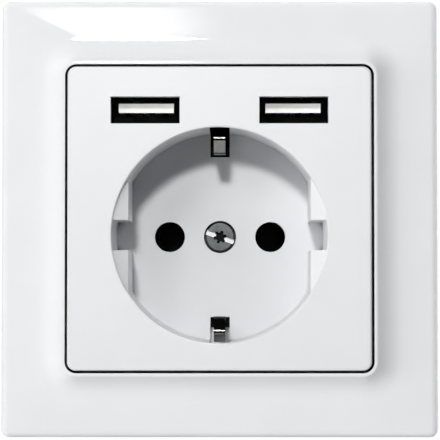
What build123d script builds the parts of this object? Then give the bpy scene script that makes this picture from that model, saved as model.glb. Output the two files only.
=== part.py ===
import math
import os

from build123d import *

# Frame: +Y into the wall, the wall surface is y = 0, +X right seen from the front, +Z up

# Cover frame and centre plate
FRAME = 79.4
FRAME_CORNER_R = 1.5
FRAME_EDGE_R = 1.2
FRAME_WALL = 1.8
FRAME_SKIN = 2.0
FRAME_SLOPE = 2.75
FRAME_RIB_T = 1.2
FRAME_RIB_X = 15.0
PLATE = 55.0
PLATE_CORNER_R = 1.6
PLATE_EDGE_R = 0.45
PLATE_GAP = 0.44
PLATE_T = 2.0
PLATE_RIB_T = 1.2
SKIRT_T = 1.6
INNER_R = 0.6
FACE_Y = -10.0
LAND_Y = -9.7
LAND_W = 0.35
LAND_R = 0.5
COVE_R = 6.0
COVE_ANGLE = 50.0
COVE_ROOT = 0.8
SKIRT_Y = -5.2
LEDGE_T = 1.5
LEDGE_SEAT = 0.9
OPENING_WALL = 1.5

# Plug recess
RECESS_Z = -3.0
RECESS_R = 19.5
RECESS_WALL = 1.2
RECESS_DEPTH = 17.5
RECESS_RIM_R = 0.3
FLOOR_T = 2.2
PIN_PITCH = 19.0
PIN_HOLE_R = 2.85
PIN_PASS = 0.35
GUIDE_X = 16.55
GUIDE_DROP = 0.5
GUIDE_SLOPE = 20.0
NOTCH_W = 5.5
EARTH_SLOT_W = 3.65
EARTH_SLOT_IN = 4.4
EARTH_SLOT_OUT = 0.6
EARTH_SLOT_DROP = 0.7

# Centre screw and nut
SCREW_WELL_R = 3.05
SCREW_HEAD_R = 2.75
SCREW_HEAD_T = 1.2
SCREW_HEAD_DROP = 0.2
SCREW_EDGE_R = 0.25
SCREW_R = 1.75
SCREW_SLOT_W = 0.95
SCREW_SLOT_DEPTH = 0.5
SCREW_SLOT_TILT = -20.0
SCREW_STAR_R = 0.85
SCREW_STAR_DEPTH = 0.9
SCREW_LOBE_R = 0.32
SCREW_LOBE_OUT = 0.95
SCREW_OUT = 3.0
NUT_W = 6.0
NUT_T = 2.4
NUT_FIT = 0.05
THREAD_CLEAR = 0.03
HOLE_CLEAR = 0.15

# USB receptacles
USB_X = 13.45
USB_RISE = 3.1
USB_LIP = 0.1
USB_SHELL_W = 13.1
USB_SHELL_H = 5.7
USB_SHELL_T = 0.3
USB_SHELL_R = 0.5
USB_FIT = 0.2
USB_COLLAR_T = 1.0
USB_COLLAR_H = 2.0
USB_SPRING_W = 1.7
USB_SPRING_L = 4.4
USB_SPRING_X = 3.2
USB_SPRING_IN = 1.2
USB_SPRING_CUT = 0.4
USB_SPRING_BEND = 0.35
USB_TONGUE_W = 10.1
USB_TONGUE_H = 1.7
USB_TONGUE_UP = 0.75
USB_TONGUE_DROP = 5.4
USB_TONGUE_L = 7.0
USB_BACK_T = 1.1
USB_BACK_FIT = 0.02
USB_CONTACT_W = 1.0
USB_CONTACT_T = 0.2
USB_CONTACT_DROP = 0.6
USB_PIN_IN = 1.0
USB_PIN_OUT = 3.5
BOARD_T = 1.6
BOARD_FIT = 0.2

# Support ring
RING_MARGIN = 2.7
RING_CORNER_R = 9.0
RING_T = 1.2
RING_CLEAR = 0.7
RING_LIP_H = 1.0
RING_LIP_L = 12.0
RING_LIP_Z = 15.0
RING_PORT_ROOM = 0.5
CORNER_SLOT_W = 2.6
CORNER_SLOT_L = 6.0
CORNER_SLOT_IN = 9.0
BOX_SCREW_PITCH = 60.0
BOX_SLOT_R = 2.1
BOX_SLOT_LENGTH = 7.0

# Insert body behind the recess
GAP = 0.2
COVER_T = 2.2
GROOVE_DEPTH = 1.1
GROOVE_FIT = 0.15
GROOVE_END = 1.0
BODY_WALL = 1.3
BODY_FIT = 0.26
BODY_DEPTH = 17.0
BODY_EDGE_R = 1.0
REAR_WALL = 1.5
TOWER_SIDE = 1.3
TOWER_ROUND = 0.63
TOWER_WALL = 1.0
TOWER_SKIN = 0.5
TOWER_ABOVE = 4.8
TOWER_BELOW = 5.8
TOWER_SILL = 1.7
LEDGE_OPEN_W = 30.0
LEDGE_OPEN_H = 4.2
LEDGE_OPEN_UP = 1.1
POST_R = 2.3
POST_CLEAR = 0.3
POST_ANGLE = 53.13
POST_UP = 6.3
POST_BORE = 7.0
SMALL_SCREW_R = 1.2
SMALL_SCREW_L = 6.0
SMALL_HEAD_R = 2.1
SMALL_HEAD_T = 1.5
CROSS_L = 2.6
CROSS_W = 0.6
CROSS_DEPTH = 0.7
SCREW_ROOM = 6.0
HOUSING_SCREW_IN = 3.2
HOUSING_SCREW_Z = 9.0
HOUSING_SCREW_SHORT = 0.4
BOSS_R = 2.5
BASE_RISE = 13.4
BASE_WALL = 1.6
BASE_GAP = 1.1
BASE_BACK = 3.1
FUNNEL = 0.6
GUARD_T = 1.2
GUARD_L = 9.0
GUARD_H = 1.5
PANEL_W = 24.0
PANEL_H = 8.0
PANEL_DEPTH = 0.4
GAUGE_L = 11.0
GAUGE_W = 1.6

# Contacts and terminals
STRAP_T = 0.7
STRAP_W = 6.0
STRAP_END_IN = 2.4
CLIP_W = 2.1
CLIP_T = 0.6
CLIP_BEND_R = 0.9
CLIP_FOOT_IN = 6.3
CLIP_HEEL_IN = 3.6
CLIP_RISE_IN = 3.8
CLIP_RISE_UP = 2.0
CLIP_NOSE_IN = 4.5
CLIP_NOSE_DROP = 3.8
CLIP_CREST_IN = 1.6
CLIP_CREST_DROP = 2.2
CLIP_TIP_IN = 0.35
CLIP_TIP_DROP = 4.6
SLEEVE_IN = 2.45
SLEEVE_T = 0.55
SLEEVE_GAP = 1.2
SLEEVE_START = 2.9
SLEEVE_ROOM = 0.5
TAIL_T = 0.6
TAIL_W = 5.0
TAIL_UP = 2.7
TAIL_FIT = 0.2
TAIL_ROOM = 0.3
CONTACT_GAP = 1.0
CLAMP_W = 7.0
CLAMP_H = 6.8
CLAMP_L = 5.8
CLAMP_T = 0.8
CLAMP_FIT = 0.1
WIRE_DROP = 15.3
WIRE_OFF = 0.3
WIRE_HOLE_R = 2.0
TERMINAL_R = 1.5
TERMINAL_L = 4.2
TERMINAL_HEAD_R = 2.2
TERMINAL_HEAD_T = 1.8
TERMINAL_ROOM = 0.3
TERMINAL_GAP = 0.1
TERMINAL_SLOT = 0.7
POWER_GAP = 1.5
LINK_UP = 1.4
LINK_EDGE = 1.9
LINK_PITCH = 2.54
LINK_W = 0.64
LINK_ROOM = 1.7
LEAD_R = 0.5
LEAD_OUT = 1.8
LEAD_UP = 2.6
LEAD_FIT = 0.2
CORE_W = 11.0
CORE_LEG = 1.7
CORE_YOKE = 2.4
CORE_ROOM = 1.4
CORE_EDGE = 1.05
CAP_R = 4.0
CAP_EDGE_R = 0.5
CAP_ROOM = 0.8
CAP_SPACE = 1.5
CAP_EDGE = 0.7

# Spreading claws
CLAW_GAP = 2.2
CLAW_Y = 2.4
CLAW_PIN_R = 0.8
CLAW_PIN_FIT = 0.05
CLAW_T = 1.2
CLAW_HALF = 6.0
CLAW_HUB_R = 1.4
CLAW_HUB_FRONT = 1.3
CLAW_HUB_BACK = 2.4
CLAW_KNEE = 5.1
CLAW_WAIST = 8.6
CLAW_WAIST_IN = 0.8
CLAW_REACH = 16.0
CLAW_WEB_OUT = 4.1
CLAW_SCREW_OUT = 1.5
CLAW_SCREW_R = 1.5
CLAW_SCREW_END = 5.6
CLAW_HEAD_R = 2.3
CLAW_HEAD_T = 1.8
CLAW_HEAD_SLOT = 0.8
EAR_W = 3.0
LUG_T = 1.2
LUG_IN = 0.6
LUG_SLOT_L = 1.6
LUG_SLOT_W = 0.4
TOOTH_Z = 3.9
TOOTH_W = 3.6
TOOTH_L = 3.0
TOOTH_OUT = 1.1
TOOTH_ROOT = 0.2
CLAW_NUT_W = 5.4
CLAW_NUT_T = 2.4
CLAW_NUT_GAP = 0.05

# Frame and plate levels
opening = PLATE + 2 * PLATE_GAP
opening_r = PLATE_CORNER_R + PLATE_GAP
wall_out = opening + 2 * OPENING_WALL
inside = FRAME - 2 * FRAME_WALL
land_end = opening / 2 + LAND_W
cove_sin = math.sin(math.radians(COVE_ANGLE))
cove_cos = math.cos(math.radians(COVE_ANGLE))
cove_start = (land_end + LAND_R * cove_sin, LAND_Y + LAND_R * (1 - cove_cos))
cove_end = (cove_start[0] + COVE_R * cove_sin, cove_start[1] + COVE_R * (1 - cove_cos))
flat_y = cove_end[1]
edge_y = flat_y + (FRAME / 2 - cove_end[0]) * math.tan(math.radians(FRAME_SLOPE))
plate_back = FACE_Y + PLATE_T
skirt_in = PLATE - 2 * SKIRT_T
ledge_y = SKIRT_Y + LEDGE_T

# Recess levels
floor_y = FACE_Y + RECESS_DEPTH
floor_back = floor_y + FLOOR_T
cup_r = RECESS_R + RECESS_WALL
pin_x = PIN_PITCH / 2
slot_in = RECESS_R - EARTH_SLOT_IN
slot_out = RECESS_R + EARTH_SLOT_OUT
head_y = floor_y + SCREW_HEAD_DROP

# Insert levels
cover_y = floor_back + GAP
groove_y = cover_y + GROOVE_DEPTH
body_y = cover_y + COVER_T
body_end = body_y + BODY_DEPTH
rear_y = body_end - REAR_WALL
chamber_y = rear_y - BASE_BACK
contact_end = chamber_y - CONTACT_GAP
screw_tip = body_y + NUT_T + SCREW_OUT
strap_l = 2 * (RECESS_R - STRAP_END_IN)

# USB places
usb_z = RECESS_Z + RECESS_R + USB_RISE
usb_inner_w = USB_SHELL_W - 2 * USB_SHELL_T
usb_inner_h = USB_SHELL_H - 2 * USB_SHELL_T
usb_back = FACE_Y + USB_TONGUE_DROP + USB_TONGUE_L
usb_board_y = usb_back + USB_BACK_T
usb_board_back = usb_board_y + BOARD_T
tongue_y = FACE_Y + USB_TONGUE_DROP
usb_left = -USB_X
usb_right = USB_X
tongue_z = usb_z + USB_TONGUE_UP
contact_z = tongue_z - USB_TONGUE_H / 2 - USB_CONTACT_T / 2
usb_pins = (-USB_PIN_OUT, -USB_PIN_IN, USB_PIN_IN, USB_PIN_OUT)
link_z = usb_z + LINK_UP

# Ring, tower and posts
ring = inside - 2 * RING_MARGIN
ring_hole_r = cup_r + RING_CLEAR
tower_x = usb_right + USB_SHELL_W / 2 + TOWER_SIDE
tower_r = math.hypot(usb_right + USB_SHELL_W / 2, usb_z + USB_SHELL_H / 2) + TOWER_ROUND
tower_low = usb_z - TOWER_BELOW
tower_top = usb_z + TOWER_ABOVE
sill_z = tower_low + TOWER_SILL
lintel_z = tower_top - TOWER_WALL
post_out = ring_hole_r + POST_R + POST_CLEAR
post_x = post_out * math.cos(math.radians(POST_ANGLE))
post_z = RECESS_Z - post_out * math.sin(math.radians(POST_ANGLE))
posts = ((0, usb_z + POST_UP), (post_x, post_z), (-post_x, post_z))

# Terminals and body outline
sleeve_out = SLEEVE_IN + SLEEVE_T
wire_z = RECESS_Z - WIRE_DROP
clamp_mid = wire_z + WIRE_OFF
clamp_low = clamp_mid - CLAMP_H / 2
tail_z = clamp_mid + CLAMP_H / 2 - CLAMP_T - TAIL_FIT - TAIL_T
clamp_back = contact_end - TAIL_T - CLAMP_FIT
clamp_front = clamp_back - CLAMP_L
terminal_y = (clamp_front + clamp_back) / 2
terminal_x = (-pin_x, 0.0, pin_x)
base_x = pin_x + CLAMP_W / 2 + BASE_WALL
base_top = RECESS_Z + BASE_RISE
base_bottom = clamp_low - BASE_WALL
power_y = body_y + POWER_GAP
power_back = power_y + BOARD_T
power_top = link_z + LINK_EDGE
body_x = base_x + SCREW_ROOM
body_top = power_top + BOARD_FIT + BODY_WALL
body_bottom = base_bottom - BASE_GAP - BODY_WALL
body_r = math.hypot(base_x, base_bottom) + BODY_WALL + BODY_FIT
housing_x = body_x - HOUSING_SCREW_IN
rear_screws = ((-housing_x, HOUSING_SCREW_Z), (housing_x, HOUSING_SCREW_Z))
lead_x = pin_x + LEAD_OUT
lead_y = power_back + LEAD_R
lead_low = RECESS_Z + math.sqrt(sleeve_out ** 2 - (LEAD_OUT - LEAD_R) ** 2) + THREAD_CLEAR
core_z = (power_top + base_top) / 2
core_h = power_top - base_top - 2 * CORE_EDGE
core_d = rear_y - power_back - CORE_ROOM
cap_x = CORE_W / 2 + CAP_R + CAP_SPACE
cap_z = power_top - CAP_R - CAP_EDGE

# Claw places
claw_x = max(cup_r + CLAW_GAP, body_x + CLAW_NUT_W / 2 - CLAW_SCREW_OUT + HOLE_CLEAR)
claw_screw_x = claw_x + CLAW_SCREW_OUT
claw_web = claw_x + CLAW_WEB_OUT
claw_back = claw_web + CLAW_T
claw_end = CLAW_Y + CLAW_REACH


def front(y):
    """Sketch plane at depth y, seen from the front; a positive extrusion comes forward."""
    return Plane(origin=(0, y, 0), x_dir=(1, 0, 0), z_dir=(0, -1, 0))


os.makedirs("parts", exist_ok=True)

# Cover frame
with BuildPart() as cover_frame:
    with BuildSketch(front(0)):
        RectangleRounded(FRAME, FRAME, FRAME_CORNER_R)
    extrude(amount=-edge_y)
    with BuildSketch(front(edge_y)):
        RectangleRounded(FRAME, FRAME, FRAME_CORNER_R)
    with BuildSketch(front(flat_y)):
        RectangleRounded(2 * cove_end[0], 2 * cove_end[0], opening_r + cove_end[0] - opening / 2)
    loft(ruled=True)
    fillet(cover_frame.edges().filter_by_position(Axis.Y, edge_y - 0.01, edge_y + 0.01), FRAME_EDGE_R)
    # Raised collar with its cove: four straight sides and four turned corners
    bend = opening / 2 - opening_r
    for quarter in range(4):
        turn = math.radians(90 * quarter)
        out = Vector(math.cos(turn), 0, math.sin(turn))
        along = Vector(-math.sin(turn), 0, math.cos(turn))
        corner = (out + along) * bend
        for start in (Vector(0, 0, 0), corner):
            shift = out.dot(start)
            with BuildSketch(Plane(origin=out * shift + along * along.dot(start), x_dir=out, z_dir=along)):
                with BuildLine():
                    Line((opening / 2 - shift, flat_y + COVE_ROOT), (opening / 2 - shift, LAND_Y))
                    Line((opening / 2 - shift, LAND_Y), (land_end - shift, LAND_Y))
                    RadiusArc((land_end - shift, LAND_Y), (cove_start[0] - shift, cove_start[1]), -LAND_R)
                    RadiusArc((cove_start[0] - shift, cove_start[1]), (cove_end[0] - shift, flat_y), COVE_R)
                    Line((cove_end[0] - shift, flat_y), (cove_end[0] - shift, flat_y + COVE_ROOT))
                    Line((cove_end[0] - shift, flat_y + COVE_ROOT), (opening / 2 - shift, flat_y + COVE_ROOT))
                make_face()
            if shift == 0:
                extrude(amount=bend, both=True)
            else:
                revolve(axis=Axis(tuple(corner), (0, -1, 0)), revolution_arc=90)
    with BuildSketch(front(0)):
        RectangleRounded(opening, opening, opening_r)
    extrude(amount=-FACE_Y, mode=Mode.SUBTRACT)
    with BuildSketch(front(0)):
        RectangleRounded(inside, inside, INNER_R)
        RectangleRounded(wall_out, wall_out, opening_r + OPENING_WALL, mode=Mode.SUBTRACT)
    extrude(amount=-flat_y - FRAME_SKIN, mode=Mode.SUBTRACT)
    # Stiffening ribs between the outer wall and the wall of the opening
    with BuildSketch(front(ledge_y)):
        with Locations((-FRAME_RIB_X, 0), (FRAME_RIB_X, 0)):
            Rectangle(FRAME_RIB_T, inside + FRAME_WALL)
        with Locations((0, -FRAME_RIB_X), (0, FRAME_RIB_X)):
            Rectangle(inside + FRAME_WALL, FRAME_RIB_T)
        RectangleRounded(opening + OPENING_WALL, opening + OPENING_WALL, opening_r, mode=Mode.SUBTRACT)
    extrude(amount=ledge_y - flat_y - FRAME_SKIN / 2)
    with BuildSketch(front(0)):
        RectangleRounded(inside, inside, INNER_R)
    extrude(amount=-ledge_y, mode=Mode.SUBTRACT)
    ledge_in = PLATE - 2 * LEDGE_SEAT
    with BuildSketch(front(ledge_y)):
        RectangleRounded(wall_out, wall_out, opening_r + OPENING_WALL)
        RectangleRounded(ledge_in, ledge_in, PLATE_CORNER_R - LEDGE_SEAT, mode=Mode.SUBTRACT)
    extrude(amount=LEDGE_T)
cover_frame.part.label = "cover_frame"
export_step(cover_frame.part, "parts/cover_frame.step")

# Side guides of the recess, sloped to lead a plug in, with the notch in their middle
with BuildPart() as guides:
    with BuildSketch(front(floor_y)):
        with Locations((0, RECESS_Z)):
            Circle(RECESS_R + RECESS_WALL / 2)
            Rectangle(2 * GUIDE_X, 2 * cup_r, mode=Mode.SUBTRACT)
            Rectangle(2 * cup_r, NOTCH_W, mode=Mode.SUBTRACT)
    extrude(amount=RECESS_DEPTH - GUIDE_DROP)
    fall = math.tan(math.radians(GUIDE_SLOPE))
    for side in (-1, 1):
        with BuildSketch(Plane.XY.offset(RECESS_Z)):
            Polygon(
                (side * RECESS_R, FACE_Y + GUIDE_DROP),
                (side * RECESS_R, FACE_Y),
                (side * GUIDE_X / 2, FACE_Y),
                (side * GUIDE_X / 2, FACE_Y + GUIDE_DROP + (RECESS_R - GUIDE_X / 2) * fall),
                align=None,
            )
        extrude(amount=cup_r, both=True, mode=Mode.SUBTRACT)

# Centre plate with the plug recess
with BuildPart() as centre_plate:
    with BuildSketch(front(SKIRT_Y)):
        RectangleRounded(PLATE, PLATE, PLATE_CORNER_R)
    extrude(amount=SKIRT_Y - FACE_Y)
    fillet(centre_plate.faces().sort_by(Axis.Y)[0].edges(), PLATE_EDGE_R)
    with BuildSketch(front(SKIRT_Y)):
        RectangleRounded(skirt_in, skirt_in, INNER_R)
    extrude(amount=SKIRT_Y - plate_back, mode=Mode.SUBTRACT)
    # Ribs behind the face and collars that guide the USB shells
    with BuildSketch(front(SKIRT_Y)):
        for rib_angle in (0, 90, 180, 225, 270, 315):
            with Locations((0, RECESS_Z)):
                Rectangle(PLATE, PLATE_RIB_T, rotation=rib_angle, align=(Align.MIN, Align.CENTER))
        Rectangle(skirt_in + SKIRT_T, skirt_in + SKIRT_T, mode=Mode.INTERSECT)
    extrude(amount=SKIRT_Y - plate_back + PLATE_T / 2)
    collar_w = USB_SHELL_W + 2 * USB_FIT
    collar_h = USB_SHELL_H + 2 * USB_FIT
    with BuildSketch(front(plate_back + USB_COLLAR_H)):
        with Locations((usb_left, usb_z), (usb_right, usb_z)):
            Rectangle(collar_w + 2 * USB_COLLAR_T, collar_h + 2 * USB_COLLAR_T)
    extrude(amount=USB_COLLAR_H)
    with BuildSketch(front(plate_back + USB_COLLAR_H)):
        with Locations((usb_left, usb_z), (usb_right, usb_z)):
            Rectangle(collar_w, collar_h)
    extrude(amount=USB_COLLAR_H, mode=Mode.SUBTRACT)
    with BuildSketch(front(floor_back)):
        with Locations((0, RECESS_Z)):
            Circle(cup_r)
    extrude(amount=floor_back - plate_back + PLATE_T / 2)
    with BuildSketch(front(floor_y)):
        with Locations((0, RECESS_Z)):
            Circle(RECESS_R)
    extrude(amount=RECESS_DEPTH, mode=Mode.SUBTRACT)
    rim = centre_plate.faces().sort_by(Axis.Y)[0].inner_wires()[0].edges()
    fillet(rim, RECESS_RIM_R)
    add(guides.part)
    # Earth slots through the floor, carried up the wall
    with BuildSketch(front(floor_back)):
        slot_mid = (slot_in + slot_out) / 2
        with Locations((0, RECESS_Z - slot_mid), (0, RECESS_Z + slot_mid)):
            Rectangle(EARTH_SLOT_W, slot_out - slot_in)
    extrude(amount=FLOOR_T + RECESS_DEPTH - EARTH_SLOT_DROP, mode=Mode.SUBTRACT)
    # Pin holes, screw hole and its well
    with BuildSketch(front(floor_back)):
        with Locations((-pin_x, RECESS_Z), (pin_x, RECESS_Z)):
            Circle(PIN_HOLE_R)
        with Locations((0, RECESS_Z)):
            Circle(SCREW_R + HOLE_CLEAR)
    extrude(amount=FLOOR_T, mode=Mode.SUBTRACT)
    with BuildSketch(front(head_y + SCREW_HEAD_T)):
        with Locations((0, RECESS_Z)):
            Circle(SCREW_WELL_R)
    extrude(amount=SCREW_HEAD_DROP + SCREW_HEAD_T, mode=Mode.SUBTRACT)
    with BuildSketch(front(plate_back)):
        with Locations((usb_left, usb_z), (usb_right, usb_z)):
            Rectangle(usb_inner_w, usb_inner_h - 2 * USB_LIP)
    extrude(amount=PLATE_T, mode=Mode.SUBTRACT)
centre_plate.part.label = "centre_plate"
export_step(centre_plate.part, "parts/centre_plate.step")

# Centre screw: slotted head with a six-lobe recess
with BuildPart() as centre_screw:
    with BuildSketch(front(head_y + SCREW_HEAD_T)):
        with Locations((0, RECESS_Z)):
            Circle(SCREW_HEAD_R)
    extrude(amount=SCREW_HEAD_T)
    fillet(centre_screw.faces().sort_by(Axis.Y)[0].edges(), SCREW_EDGE_R)
    with BuildSketch(front(screw_tip)):
        with Locations((0, RECESS_Z)):
            Circle(SCREW_R)
    extrude(amount=screw_tip - head_y - SCREW_HEAD_T)
    with BuildSketch(front(head_y + SCREW_SLOT_DEPTH)):
        with Locations((0, RECESS_Z)):
            Rectangle(3 * SCREW_HEAD_R, SCREW_SLOT_W, rotation=SCREW_SLOT_TILT)
    extrude(amount=SCREW_SLOT_DEPTH, mode=Mode.SUBTRACT)
    with BuildSketch(front(head_y + SCREW_STAR_DEPTH)):
        with Locations((0, RECESS_Z)):
            Circle(SCREW_STAR_R)
            with PolarLocations(SCREW_LOBE_OUT, 6, start_angle=SCREW_SLOT_TILT + 30):
                Circle(SCREW_LOBE_R)
    extrude(amount=SCREW_STAR_DEPTH, mode=Mode.SUBTRACT)
centre_screw.part.label = "centre_screw"
export_step(centre_screw.part, "parts/centre_screw.step")

# Support ring with box-screw slots, stiffening lips and claw ears
with BuildPart() as support_ring:
    with BuildSketch(front(0)):
        RectangleRounded(ring, ring, RING_CORNER_R)
        with Locations((0, RECESS_Z)):
            Circle(ring_hole_r, mode=Mode.SUBTRACT)
        with Locations((usb_left, usb_z), (usb_right, usb_z)):
            Rectangle(USB_SHELL_W + 2 * RING_PORT_ROOM, USB_SHELL_H + 2 * RING_PORT_ROOM, mode=Mode.SUBTRACT)
        with Locations((-BOX_SCREW_PITCH / 2, 0), (BOX_SCREW_PITCH / 2, 0)):
            SlotOverall(BOX_SLOT_LENGTH, 2 * BOX_SLOT_R, mode=Mode.SUBTRACT)
        with Locations((0, -BOX_SCREW_PITCH / 2), (0, BOX_SCREW_PITCH / 2)):
            SlotOverall(BOX_SLOT_LENGTH, 2 * BOX_SLOT_R, rotation=90, mode=Mode.SUBTRACT)
        slot_at = ring / 2 - CORNER_SLOT_IN
        for slot_x, slot_z, slot_turn in ((-1, -1, 45), (1, -1, -45), (-1, 1, -45), (1, 1, 45)):
            with Locations((slot_x * slot_at, slot_z * slot_at)):
                SlotOverall(CORNER_SLOT_L, CORNER_SLOT_W, rotation=slot_turn, mode=Mode.SUBTRACT)
        with Locations((-claw_screw_x, 0), (claw_screw_x, 0)):
            Circle(CLAW_SCREW_R + HOLE_CLEAR, mode=Mode.SUBTRACT)
        with Locations(*posts):
            Circle(SMALL_SCREW_R + HOLE_CLEAR, mode=Mode.SUBTRACT)
    extrude(amount=RING_T)
    with BuildSketch(front(0)):
        lip_x = (ring - RING_T) / 2
        with Locations((-lip_x, RING_LIP_Z), (-lip_x, -RING_LIP_Z), (lip_x, RING_LIP_Z), (lip_x, -RING_LIP_Z)):
            Rectangle(RING_T, RING_LIP_L)
    extrude(amount=RING_T + RING_LIP_H)
    ear_z = CLAW_HALF + HOLE_CLEAR + CLAW_T / 2
    for side in (-1, 1):
        for up in (-1, 1):
            with BuildSketch(Plane.XY.offset(up * ear_z)):
                with Locations((side * claw_x, CLAW_Y / 2)):
                    Rectangle(EAR_W, CLAW_Y)
                with Locations((side * claw_x, CLAW_Y)):
                    Circle(EAR_W / 2)
                with Locations((side * claw_x, CLAW_Y)):
                    Circle(CLAW_PIN_R + CLAW_PIN_FIT, mode=Mode.SUBTRACT)
            extrude(amount=CLAW_T / 2, both=True)
support_ring.part.label = "support_ring"
export_step(support_ring.part, "parts/support_ring.step")

# Three screws that hold the ring on the contact cover
with BuildPart() as carrier_screws:
    with BuildSketch(front(-RING_T)):
        with Locations(*posts):
            Circle(SMALL_HEAD_R)
    extrude(amount=SMALL_HEAD_T)
    with BuildSketch(front(SMALL_SCREW_L)):
        with Locations(*posts):
            Circle(SMALL_SCREW_R)
    extrude(amount=SMALL_SCREW_L + RING_T)
    with BuildSketch(front(CROSS_DEPTH - RING_T - SMALL_HEAD_T)):
        with Locations(*posts):
            Rectangle(CROSS_L, CROSS_W)
            Rectangle(CROSS_W, CROSS_L)
    extrude(amount=CROSS_DEPTH, mode=Mode.SUBTRACT)
carrier_screws.part.label = "carrier_screws"
export_step(carrier_screws.part, "parts/carrier_screws.step")

# Contact cover: front of the insert with the USB tower and three posts
with BuildPart() as contact_cover:
    with BuildSketch(front(body_y)):
        with Locations((0, (body_top + body_bottom) / 2)):
            Rectangle(2 * body_x, body_top - body_bottom)
        Circle(body_r, mode=Mode.INTERSECT)
    extrude(amount=COVER_T)
    with BuildSketch(front(cover_y)):
        with Locations((0, (tower_low + tower_top) / 2)):
            Rectangle(2 * tower_x, tower_top - tower_low)
        Circle(tower_r, mode=Mode.INTERSECT)
        with Locations((0, RECESS_Z)):
            Circle(ring_hole_r, mode=Mode.SUBTRACT)
        with Locations(*posts):
            Circle(POST_R)
    extrude(amount=cover_y)
    # Chamber of the USB board, with a ledge that the board rests on
    with BuildSketch(front(usb_board_back)):
        with Locations((0, (sill_z + lintel_z) / 2)):
            Rectangle(2 * (tower_x - TOWER_WALL), lintel_z - sill_z)
        Circle(tower_r - TOWER_SKIN, mode=Mode.INTERSECT)
        with Locations((0, RECESS_Z)):
            Circle(ring_hole_r + TOWER_WALL / 2, mode=Mode.SUBTRACT)
    extrude(amount=usb_board_back, mode=Mode.SUBTRACT)
    with BuildSketch(front(cover_y)):
        with Locations((0, usb_z + LEDGE_OPEN_UP)):
            Rectangle(LEDGE_OPEN_W, LEDGE_OPEN_H)
        Circle(body_r - BODY_WALL, mode=Mode.INTERSECT)
    extrude(amount=cover_y - usb_board_back, mode=Mode.SUBTRACT)
    with BuildSketch(front(usb_board_back)):
        with Locations((usb_left, usb_z), (usb_right, usb_z)):
            Rectangle(USB_SHELL_W + 2 * USB_FIT, USB_SHELL_H + 2 * USB_FIT)
    extrude(amount=usb_board_back, mode=Mode.SUBTRACT)
    # Groove for the earth strap, and the passages through the cover
    with BuildSketch(front(groove_y)):
        with Locations((0, RECESS_Z)):
            Rectangle(STRAP_W + 2 * GROOVE_FIT, strap_l + 2 * GROOVE_END)
    extrude(amount=GROOVE_DEPTH, mode=Mode.SUBTRACT)
    with BuildSketch(front(body_y)):
        with Locations((-pin_x, RECESS_Z), (pin_x, RECESS_Z)):
            Circle(PIN_HOLE_R + PIN_PASS)
        with Locations((0, RECESS_Z)):
            Circle(SCREW_R + HOLE_CLEAR)
        with Locations((0, tail_z + TAIL_T / 2)):
            Rectangle(TAIL_W, TAIL_T + 2 * TAIL_FIT)
        with Locations((0, link_z)):
            Rectangle(3 * LINK_PITCH + 2 * LINK_ROOM, 2 * LINK_W + LINK_W)
        with Locations(*rear_screws):
            Circle(SMALL_SCREW_R + THREAD_CLEAR)
    extrude(amount=COVER_T, mode=Mode.SUBTRACT)
    with BuildSketch(front(POST_BORE)):
        with Locations(*posts):
            Circle(SMALL_SCREW_R + THREAD_CLEAR)
    extrude(amount=POST_BORE, mode=Mode.SUBTRACT)
contact_cover.part.label = "contact_cover"
export_step(contact_cover.part, "parts/contact_cover.step")

# Contact base with its chambers
with BuildPart() as contact_base:
    with BuildSketch(front(rear_y)):
        with Locations((0, (base_top + base_bottom) / 2)):
            Rectangle(2 * base_x, base_top - base_bottom)
    extrude(amount=rear_y - body_y)
    tail_top = RECESS_Z
    with BuildSketch(front(chamber_y)):
        with Locations((-pin_x, RECESS_Z), (pin_x, RECESS_Z)):
            Circle(sleeve_out + SLEEVE_ROOM)
        with Locations((-pin_x, (tail_top + tail_z) / 2), (pin_x, (tail_top + tail_z) / 2)):
            Rectangle(TAIL_W + 2 * TAIL_ROOM, tail_top - tail_z)
        with Locations(*((x, clamp_mid) for x in terminal_x)):
            Rectangle(CLAMP_W + 2 * CLAMP_FIT, CLAMP_H)
    extrude(amount=chamber_y - body_y, mode=Mode.SUBTRACT)
    with BuildSketch(front(body_y + NUT_T)):
        with Locations((0, RECESS_Z)):
            Rectangle(NUT_W + 2 * NUT_FIT, NUT_W + 2 * NUT_FIT)
    extrude(amount=NUT_T, mode=Mode.SUBTRACT)
    with BuildSketch(front(screw_tip + CONTACT_GAP)):
        with Locations((0, RECESS_Z)):
            Circle(SCREW_R + 2 * HOLE_CLEAR)
    extrude(amount=screw_tip + CONTACT_GAP - body_y, mode=Mode.SUBTRACT)
    with BuildSketch(front(rear_y)):
        with Locations(*((x, wire_z) for x in terminal_x)):
            Circle(WIRE_HOLE_R)
    extrude(amount=rear_y - chamber_y, mode=Mode.SUBTRACT)
    with BuildSketch(Plane.XY.offset(base_bottom)):
        with Locations(*((x, terminal_y) for x in terminal_x)):
            Circle(TERMINAL_R + HOLE_CLEAR)
    extrude(amount=clamp_low - base_bottom + CLAMP_T, mode=Mode.SUBTRACT)
    with BuildSketch(Plane.XY.offset(base_top)):
        with Locations((-lead_x, lead_y), (lead_x, lead_y)):
            Circle(LEAD_R + LEAD_FIT)
    extrude(amount=lead_low - LEAD_R - base_top, mode=Mode.SUBTRACT)
contact_base.part.label = "contact_base"
export_step(contact_base.part, "parts/contact_base.step")

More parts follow.
